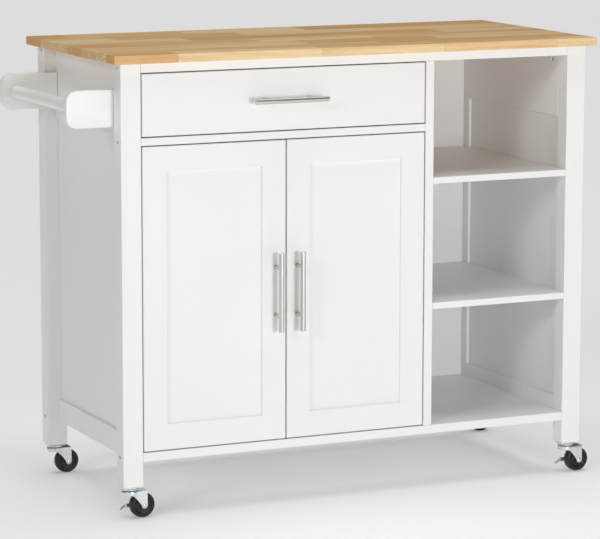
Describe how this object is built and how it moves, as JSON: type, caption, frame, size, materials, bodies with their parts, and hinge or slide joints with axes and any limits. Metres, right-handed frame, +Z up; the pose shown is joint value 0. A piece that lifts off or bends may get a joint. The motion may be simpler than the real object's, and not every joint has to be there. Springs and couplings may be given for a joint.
{
  "type": "kitchen island cart",
  "caption": "White rolling kitchen island with a wooden worktop, a drawer, framed doors, an open shelf bay, a towel rail on one end and swivel casters.",
  "frame": {"origin": "bottom centre of the whole cart, on the floor under the casters", "axes": "+X along the front from the towel rail to the open shelf bay, +Y into the depth away from the doors, +Z up"},
  "size_m": [1.132, 0.511, 0.9],
  "materials": {
    "white_paint": "semi-gloss white paint on board",
    "drawer_board": "white foil on board",
    "worktop_wood": "oiled rubberwood, edge-glued staves",
    "pull_steel": "brushed along its length",
    "zinc_steel": "bright zinc plate",
    "caster_rubber": "smooth black"
  },
  "bodies": {
    "frame": {"countertop": "worktop_wood", "leg_front_left": "white_paint", "leg_front_right": "white_paint", "leg_rear_left": "white_paint", "leg_rear_right": "white_paint", "left_upper_rail": "white_paint", "right_upper_rail": "white_paint", "left_lower_rail": "white_paint", "right_lower_rail": "white_paint", "left_end_panel": "white_paint", "right_end_panel": "white_paint", "front_top_rail": "white_paint", "mid_rail": "white_paint", "bottom_board": "white_paint", "divider_panel": "white_paint", "back_board": "white_paint", "shelf_upper": "white_paint", "shelf_lower": "white_paint", "inner_shelf": "white_paint", "cabinet_slide_left": "zinc_steel", "cabinet_slide_right": "zinc_steel", "hinge_arm_left_lower": "zinc_steel", "hinge_arm_left_upper": "zinc_steel", "hinge_arm_right_lower": "zinc_steel", "hinge_arm_right_upper": "zinc_steel", "caster_plate_front_left": "zinc_steel", "caster_plate_front_right": "zinc_steel", "caster_plate_rear_left": "zinc_steel", "caster_plate_rear_right": "zinc_steel", "towel_bracket_front": "white_paint", "towel_bracket_rear": "white_paint", "towel_bar": "white_paint"},
    "drawer": {"drawer_front": "white_paint", "drawer_side_left": "drawer_board", "drawer_side_right": "drawer_board", "drawer_back": "drawer_board", "drawer_bottom": "drawer_board", "drawer_pull": "pull_steel", "drawer_slide_left": "zinc_steel", "drawer_slide_right": "zinc_steel"},
    "left_door": {"left_door_frame": "white_paint", "left_door_panel": "white_paint", "left_door_pull": "pull_steel", "hinge_cup_left_lower": "zinc_steel", "hinge_cup_left_upper": "zinc_steel"},
    "right_door": {"right_door_frame": "white_paint", "right_door_panel": "white_paint", "right_door_pull": "pull_steel", "hinge_cup_right_lower": "zinc_steel", "hinge_cup_right_upper": "zinc_steel"},
    "caster_front_left": {"caster_fork_front_left": "zinc_steel"},
    "wheel_front_left": {"caster_wheel_front_left": "caster_rubber"},
    "caster_front_right": {"caster_fork_front_right": "zinc_steel"},
    "wheel_front_right": {"caster_wheel_front_right": "caster_rubber"},
    "caster_rear_left": {"caster_fork_rear_left": "zinc_steel"},
    "wheel_rear_left": {"caster_wheel_rear_left": "caster_rubber"},
    "caster_rear_right": {"caster_fork_rear_right": "zinc_steel"},
    "wheel_rear_right": {"caster_wheel_rear_right": "caster_rubber"},
    "brake_front_left": {"brake_pedal_front_left": "zinc_steel"},
    "brake_front_right": {"brake_pedal_front_right": "zinc_steel"}
  },
  "joints": [
    {"name": "drawer_slide", "type": "slide", "parent": "frame", "child": "drawer", "axis": [0, -1, 0], "range_m": [0, 0.28]},
    {"name": "left_door_hinge", "type": "hinge", "parent": "frame", "child": "left_door", "pos_m": [-0.427, -0.222, 0.428], "axis": [0, 0, -1], "range_deg": [0, 100]},
    {"name": "right_door_hinge", "type": "hinge", "parent": "frame", "child": "right_door", "pos_m": [0.174, -0.222, 0.428], "axis": [0, 0, 1], "range_deg": [0, 100]},
    {"name": "swivel_front_left", "type": "hinge", "parent": "frame", "child": "caster_front_left", "pos_m": [-0.45, -0.2035, 0.0565], "axis": [0, 0, 1], "continuous": true},
    {"name": "swivel_front_right", "type": "hinge", "parent": "frame", "child": "caster_front_right", "pos_m": [0.517, -0.2035, 0.0565], "axis": [0, 0, 1], "continuous": true},
    {"name": "swivel_rear_left", "type": "hinge", "parent": "frame", "child": "caster_rear_left", "pos_m": [-0.45, 0.2165, 0.0565], "axis": [0, 0, 1], "continuous": true},
    {"name": "swivel_rear_right", "type": "hinge", "parent": "frame", "child": "caster_rear_right", "pos_m": [0.517, 0.2165, 0.0565], "axis": [0, 0, 1], "continuous": true},
    {"name": "roll_front_left", "type": "hinge", "parent": "caster_front_left", "child": "wheel_front_left", "pos_m": [-0.426, -0.2035, 0.025], "axis": [0, 1, 0], "continuous": true},
    {"name": "roll_front_right", "type": "hinge", "parent": "caster_front_right", "child": "wheel_front_right", "pos_m": [0.541, -0.2035, 0.025], "axis": [0, 1, 0], "continuous": true},
    {"name": "roll_rear_left", "type": "hinge", "parent": "caster_rear_left", "child": "wheel_rear_left", "pos_m": [-0.426, 0.2165, 0.025], "axis": [0, 1, 0], "continuous": true},
    {"name": "roll_rear_right", "type": "hinge", "parent": "caster_rear_right", "child": "wheel_rear_right", "pos_m": [0.541, 0.2165, 0.025], "axis": [0, 1, 0], "continuous": true},
    {"name": "brake_press_front_left", "type": "hinge", "parent": "caster_front_left", "child": "brake_front_left", "pos_m": [-0.426, -0.2035, 0.025], "axis": [0, -1, 0], "range_deg": [0, 15]},
    {"name": "brake_press_front_right", "type": "hinge", "parent": "caster_front_right", "child": "brake_front_right", "pos_m": [0.541, -0.2035, 0.025], "axis": [0, -1, 0], "range_deg": [0, 15]}
  ]
}
